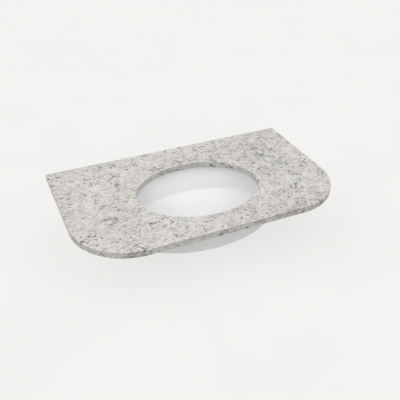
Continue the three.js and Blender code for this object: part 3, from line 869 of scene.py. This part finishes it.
def waste(looks):
    """The push-push waste under and in the drain, its pieces drawn with z = 0 on the drain seat."""
    def add(name, form, body="sink_top", slot="chromed_brass", angle=35):
        """Puts one piece on its drain seat and hands it over."""
        form.name = f"{name}_dressed"
        form.data.transform(Matrix.Translation((0, DRAIN_Y * MM, SEAT_Z * MM)))
        placed(shaded(form, angle), body, looks[slot], name)

    add("waste_body", waste_body())

    bore, radius = FLANGE_GASKET
    flange_gasket = turned("flange_gasket", rounded([
        (bore, 0, 0.5), (radius, 0, 0.5), (radius, FLANGE_LOW, 0.5), (bore, FLANGE_LOW, 0.5),
    ]), WASTE_SIDES)
    add("flange_gasket", flange_gasket, slot="black_rubber")

    seat_gasket = turned("seat_gasket", rounded([
        (SLIP_BORE, SEAT_GASKET_LOW, 0.5), (SEAT_GASKET[0], SEAT_GASKET_LOW, 1.2),
        (SEAT_GASKET[1], BOSS_FACE, 0.5), (SLIP_BORE, BOSS_FACE, 0.5),
    ], 4), WASTE_SIDES)
    add("seat_gasket", seat_gasket, slot="black_rubber")

    slip_washer = turned("slip_washer", rounded([
        (SLIP_BORE, SLIP_WASHER_LOW, 0.35), (SLIP_WASHER_RADIUS, SLIP_WASHER_LOW, 0.35),
        (SLIP_WASHER_RADIUS, SEAT_GASKET_LOW, 0.35), (SLIP_BORE, SEAT_GASKET_LOW, 0.35),
    ]), WASTE_SIDES)
    add("slip_washer", slip_washer, slot="white_nylon")
    add("waste_backnut", backnut())

    housing = turned("cartridge_housing", rounded([
        (0, SPIGOT_LOW, 0), (SPIGOT_RADIUS, SPIGOT_LOW, 0.5), (SPIGOT_RADIUS, SPIDER_HIGH, 0.2),
        (CARTRIDGE_RADIUS, SPIDER_HIGH, 0.7), (CARTRIDGE_RADIUS, CARTRIDGE_TOP, 0.3),
        (CARTRIDGE_BORE, CARTRIDGE_TOP, 0.3), (CARTRIDGE_BORE, CARTRIDGE_FLOOR, 0.5), (0, CARTRIDGE_FLOOR, 0),
    ]), CARTRIDGE_SIDES)
    add("cartridge_housing", housing, slot="grey_acetal")

    chamfer = 0.4
    collar = turned("cartridge_collar", rounded([
        (SOCKET_RADIUS, CARTRIDGE_TOP, 0.4), (CARTRIDGE_RADIUS - chamfer, CARTRIDGE_TOP, 0),
        (CARTRIDGE_RADIUS, CARTRIDGE_TOP + chamfer, 0), (CARTRIDGE_RADIUS, COLLAR_TOP - chamfer, 0),
        (CARTRIDGE_RADIUS - chamfer, COLLAR_TOP, 0), (SOCKET_RADIUS, COLLAR_TOP, 0.4),
    ]), GROOVED_SIDES, grooves=GROOVES, groove=0.35)
    add("cartridge_collar", collar, slot="grey_acetal")
    add("waste_spider", spider(), slot="plain_brass")
    add("plunger_spring", spring(), slot="spring_steel", angle=60)

    plunger = turned("plunger", rounded([
        (0, PLUNGER_FOOT_LOW, 0), (PLUNGER_FOOT_RADIUS, PLUNGER_FOOT_LOW, 0.5),
        (PLUNGER_FOOT_RADIUS, PLUNGER_FOOT_TOP, 0.5), (PLUNGER_RADIUS, PLUNGER_FOOT_TOP, 0.4),
        (PLUNGER_RADIUS, PLUNGER_TOP, 0.6), (0, PLUNGER_TOP, 0),
    ], 4), PLUNGER_SIDES)
    add("plunger", plunger, "plug", "plain_brass")
    add("plug_cap", plug_cap(), "plug")

    seal = turned("plug_seal", rounded([
        (SEAL[0], SEAL_LOW, 0.4), (20.8, SEAL_LOW, 0.8), (SEAL[1], 3.9, 0.25), (SEAL[1], CAP_LOW, 0.15),
        (SEAL[0], CAP_LOW, 0.15),
    ], 4), SEAL_SIDES)
    add("plug_seal", seal, "plug", "black_rubber")


def waste_body():
    """Tube with its helical thread outside, and the flange with its cone, in one run of rings."""
    rim = 1.2
    rings = thread(TUBE_RADIUS, THREAD_ROOT, THREAD_PITCH, TUBE_LOW, THREAD_HIGH, WASTE_SIDES, per_turn=8, lead=1.4)
    flange = rounded([
        (TUBE_BORE, TUBE_LOW, 0), (TUBE_RADIUS, THREAD_HIGH + 0.2, 0), (TUBE_RADIUS, FLANGE_LOW, 0.8),
        (FLANGE_RADIUS, FLANGE_LOW, 0.3), (FLANGE_RADIUS, FLANGE_LOW + rim, 0.7),
        (FLANGE_RADIUS - rim, FLANGE_TOP, 1), (CONE_RADIUS, FLANGE_TOP, 0.5), (TUBE_BORE, CONE_LOW, 1),
    ], 4)
    for radius, z in flange[1:] + flange[:1]:
        rings.append([(x, y, z) for x, y in oval(radius, radius, WASTE_SIDES)])
    return lofted("waste_body", rings)


def backnut():
    """Six-sided nut with turned chamfers and a chamfered bore, its top under the slip washer."""
    top, low = SLIP_WASHER_LOW, BACKNUT_LOW
    corner = BACKNUT_ACROSS / 2 / math.cos(TURN / 12)
    nut = plate("waste_backnut", rounded([(x, y, 1.2) for x, y in oval(corner, corner, 6)], 4), [], low, top)
    chamfers = turned("chamfers", [
        (0, low), (corner - 4, low), (corner, low + 2), (corner, top - 0.8), (corner - 1.4, top), (0, top),
    ], 128)
    combined(nut, chamfers, "INTERSECT")
    mouth, slope = 22.6, 1.35
    bore = turned("bore", [
        (0, low - OVERCUT), (mouth, low - OVERCUT), (mouth, low), (SLIP_BORE, low + slope),
        (SLIP_BORE, top - slope), (mouth, top), (mouth, top + OVERCUT), (0, top + OVERCUT),
    ], WASTE_SIDES)
    return combined(nut, bore, "DIFFERENCE")


def spider():
    """The brass spider: a bored hub with three arms that reach the tube's bore, its corners softened."""
    made = turned("waste_spider", rounded([
        (0, SPIDER_LOW, 0), (SPIDER_HUB, SPIDER_LOW, 0.4), (SPIDER_HUB, SPIDER_HIGH, 0.4), (0, SPIDER_HIGH, 0),
    ]), 60)
    half_arm = 2
    half_tip = math.asin(half_arm / SPIDER_REACH)
    outline = [(1, -half_arm)] + arc(SPIDER_REACH, -half_tip, half_tip, 8) + [(1, half_arm)]
    for i in range(3):
        arm = softened(plate("arm", outline, [], SPIDER_LOW, SPIDER_HIGH), 0.4, 3)
        arm.data.transform(Matrix.Rotation(TURN * i / 3, 4, "Z"))
        combined(made, arm, "UNION")
    return combined(made, drill(SPIDER_BORE, SPIDER_LOW - OVERCUT, SPIDER_HIGH + OVERCUT, 48), "DIFFERENCE")


def spring():
    """A coil of round wire with its end turns closed up, between the cartridge's floor and the plunger's foot."""
    steps, sides, gap = 32, 12, 0.3
    closed = 0.75  # turns, shared by the two ends
    ease = 0.35  # the share of the rise that starts and stops gently
    low = CARTRIDGE_FLOOR + WIRE
    high = PLUNGER_FOOT_LOW - WIRE - gap
    rings = []
    for i in range(COILS * steps + 1):
        turn = i / steps
        share = min(1.0, max(0.0, (turn - closed / 2) / (COILS - closed)))
        rise = share * share * (3 - 2 * share) * ease + share * (1 - ease)
        out = Vector((math.cos(TURN * turn), math.sin(TURN * turn), 0))
        middle = COIL_RADIUS * out + Vector((0, 0, low + (high - low) * rise))
        rings.append([tuple(middle + out * x + Vector((0, 0, z))) for x, z in oval(WIRE, WIRE, sides)])
    return capped("plunger_spring", rings)


def plug_cap():
    """The cap: a shallow dome of one curve, a rounded edge, and the boss with its socket underneath."""
    soft, dome_steps = 1.0, 24
    reach = CAP_RADIUS - soft
    dome = (reach ** 2 + CAP_RISE ** 2) / (2 * CAP_RISE)
    across = [reach * k / dome_steps for k in range(dome_steps + 1)]
    top = [(x, CAP_EDGE + CAP_RISE - dome + math.sqrt(dome ** 2 - x ** 2)) for x in across]
    side = [(reach + x, CAP_EDGE - soft + z) for x, z in arc(soft, QUARTER, 0, 6)[1:-1]]
    low = rounded([
        (CAP_RADIUS, CAP_EDGE - soft, 0), (CAP_RADIUS, CAP_LOW, 0.7), (CAP_BOSS_RADIUS, CAP_LOW, 0.9),
        (CAP_BOSS_RADIUS, CAP_BOSS_LOW, 0.5), (SOCKET_RADIUS, CAP_BOSS_LOW, 0.4), (SOCKET_RADIUS, SOCKET_TOP, 0.2),
        (0, SOCKET_TOP, 0),
    ], 4)
    return turned("plug_cap", top + side + low, CAP_SIDES)


# Floor, light and camera

def seen(tree):
    """1 on the rays that show the background: from the camera, or off metal, or through glass."""
    path = tree.nodes.new("ShaderNodeLightPath")
    last = path.outputs["Is Camera Ray"]
    for name in ("Is Glossy Ray", "Is Transmission Ray"):
        most = tree.nodes.new("ShaderNodeMath")
        most.operation = "MAXIMUM"
        tree.links.new(last, most.inputs[0])
        tree.links.new(path.outputs[name], most.inputs[1])
        last = most.outputs[0]
    return last


def floor(z):
    """A wide floor that keeps the object's shadow, as pale as the backdrop where it is seen."""
    corners = ((-1, -1), (1, -1), (1, 1), (-1, 1))
    ground = mesh_object("floor", [(x * FLOOR_REACH, y * FLOOR_REACH, z) for x, y in corners], [(0, 1, 2, 3)])
    s = Surface("pale_floor", {"Roughness": 1.0, "Specular IOR Level": 0.0})
    tones = [srgb(*(value + shift for value in BACKDROP)) for shift in (-1, 1)]
    tone = s.ramp(s.noise(400, 2), [(0.3, tones[0]), (0.7, tones[1])])
    s.colour(s.mixed(seen(s.tree), srgb(FLOOR_GREY, FLOOR_GREY - 1, FLOOR_GREY - 3), tone))
    glow = s.node("ShaderNodeEmission")
    s.put(glow.inputs["Color"], tone)
    glow.inputs["Strength"].default_value = FLOOR_GLOW
    lifted = s.node("ShaderNodeMixShader")
    s.put(lifted.inputs["Fac"], s.maths("MULTIPLY", seen(s.tree), FLOOR_LIFT))
    s.put(lifted.inputs[1], s.shader.outputs["BSDF"])
    s.put(lifted.inputs[2], glow.outputs["Emission"])
    s.put(s.tree.nodes["Material Output"].inputs["Surface"], lifted.outputs["Shader"])
    ground.data.materials.append(s.material)


def room():
    """The world: the backdrop where it is seen, and a faint even light on the object."""
    world = bpy.data.worlds.new("soft_room")
    bpy.context.scene.world = world
    world.use_nodes = True
    tree = world.node_tree
    sky = tree.nodes["Background"]
    sky.inputs["Color"].default_value = srgb(*BACKDROP)
    strength = tree.nodes.new("ShaderNodeMapRange")
    tree.links.new(seen(tree), strength.inputs["Value"])
    strength.inputs["To Min"].default_value = ROOM_LIGHT
    strength.inputs["To Max"].default_value = 1.0
    tree.links.new(strength.outputs["Result"], sky.inputs["Strength"])


def lamps():
    """Four wide, soft lamps."""
    for name, (energy, source) in LAMPS.items():
        sun = bpy.data.lights.new(name, "SUN")
        sun.energy = energy
        sun.angle = LAMP_SPREAD
        linked(name, sun).matrix_world = Vector(source).to_track_quat("Z", "Y").to_matrix().to_4x4()


def camera():
    """The photo's camera."""
    lens = bpy.data.cameras.new("camera")
    lens.lens = CAMERA_LENS
    lens.sensor_width = CAMERA_SENSOR
    lens.shift_x = -HALF_PIXEL
    lens.shift_y = HALF_PIXEL
    level = math.cos(CAMERA_PITCH)
    forward = Vector((math.sin(CAMERA_YAW) * level, math.cos(CAMERA_YAW) * level, -math.sin(CAMERA_PITCH)))
    right = Vector((math.cos(CAMERA_YAW), -math.sin(CAMERA_YAW), 0))
    axes = Matrix((right, right.cross(forward), -forward)).transposed().to_4x4()
    eye = linked("camera", lens)
    eye.matrix_world = Matrix.Translation(CAMERA_PLACE) @ axes
    bpy.context.scene.camera = eye


# The scene

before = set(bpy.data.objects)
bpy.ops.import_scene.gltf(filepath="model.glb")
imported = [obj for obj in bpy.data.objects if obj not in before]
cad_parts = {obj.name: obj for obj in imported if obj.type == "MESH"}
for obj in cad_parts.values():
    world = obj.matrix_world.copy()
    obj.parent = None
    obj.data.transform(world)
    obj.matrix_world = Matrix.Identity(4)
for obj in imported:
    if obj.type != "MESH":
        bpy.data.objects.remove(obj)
cad_low, cad_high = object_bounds()

finishes = {"stone": stone_material(), "vitreous_china": china_material()}
finishes.update({slot: metal_material(*values) for slot, values in METALS.items()})
finishes.update({slot: moulded_material(*values) for slot, values in MOULDINGS.items()})

placed(slab(), "sink_top", finishes["stone"], "stone_slab")
placed(basin(), "sink_top", finishes["vitreous_china"], "basin")
placed(sealant(), "sink_top", finishes["silicone"], "rim_sealant")
clamps(finishes)
waste(finishes)

floor(cad_low[2] / MM)
room()
lamps()
camera()
bpy.context.scene.view_settings.view_transform = "Standard"
